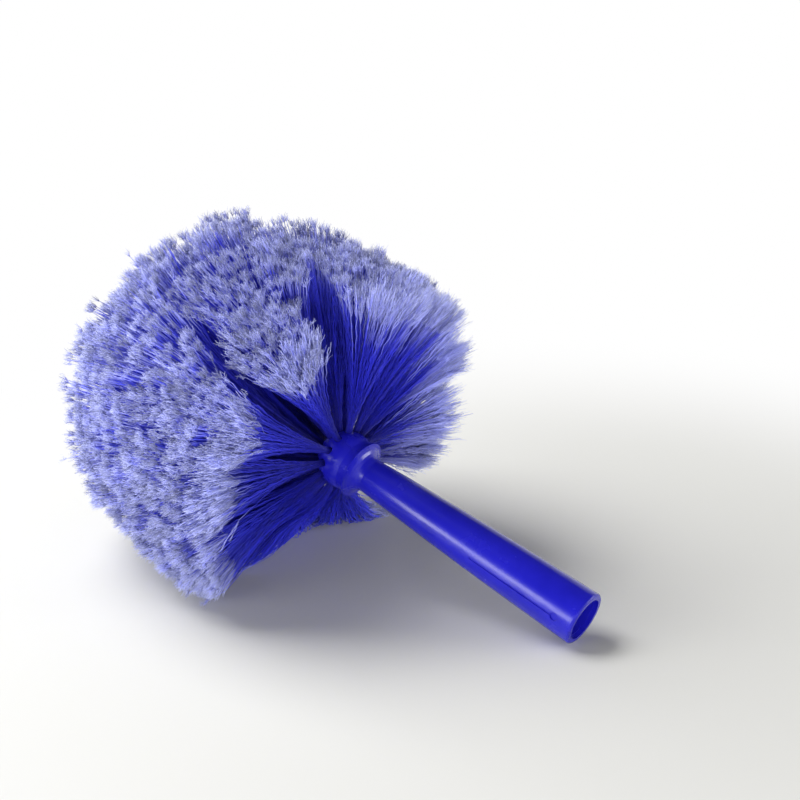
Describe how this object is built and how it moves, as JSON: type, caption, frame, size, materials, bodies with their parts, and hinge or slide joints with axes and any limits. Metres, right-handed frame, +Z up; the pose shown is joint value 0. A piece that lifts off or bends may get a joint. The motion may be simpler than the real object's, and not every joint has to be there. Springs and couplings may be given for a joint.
{
  "type": "cobweb brush head",
  "caption": "Domed cobweb brush head: a blue moulded ball, collar and tapered handle socket with stapled tufts of crimped, flagged blue bristle, lying on a table.",
  "frame": {"origin": "on the socket axis where the handle bore begins, 2.6 mm inside the mouth", "axes": "+Z up from the table the head lies on, +X level towards the socket mouth, which also dips 19 degrees; the dome points to -X and up; the table is 15 mm below the origin"},
  "size_m": [0.3282, 0.2195, 0.198],
  "materials": {
    "socket_plastic": "gloss",
    "bristle": "satin filaments, split pale tips",
    "anchor_metal": "bare"
  },
  "bodies": {
    "root": {"brush_head": "socket_plastic", "tuft_anchors": "anchor_metal", "tuft_crown": "bristle", "tuft_inner_1": "bristle", "tuft_inner_2": "bristle", "tuft_inner_3": "bristle", "tuft_inner_4": "bristle", "tuft_inner_5": "bristle", "tuft_inner_6": "bristle", "tuft_middle_1": "bristle", "tuft_middle_2": "bristle", "tuft_middle_3": "bristle", "tuft_middle_4": "bristle", "tuft_middle_5": "bristle", "tuft_middle_6": "bristle", "tuft_middle_7": "bristle", "tuft_middle_8": "bristle", "tuft_middle_9": "bristle", "tuft_middle_10": "bristle", "tuft_outer_1": "bristle", "tuft_outer_2": "bristle", "tuft_outer_3": "bristle", "tuft_outer_4": "bristle", "tuft_outer_5": "bristle", "tuft_outer_6": "bristle", "tuft_outer_7": "bristle", "tuft_outer_8": "bristle", "tuft_outer_9": "bristle", "tuft_outer_10": "bristle", "tuft_outer_11": "bristle", "tuft_outer_12": "bristle"}
  },
  "joints": []
}
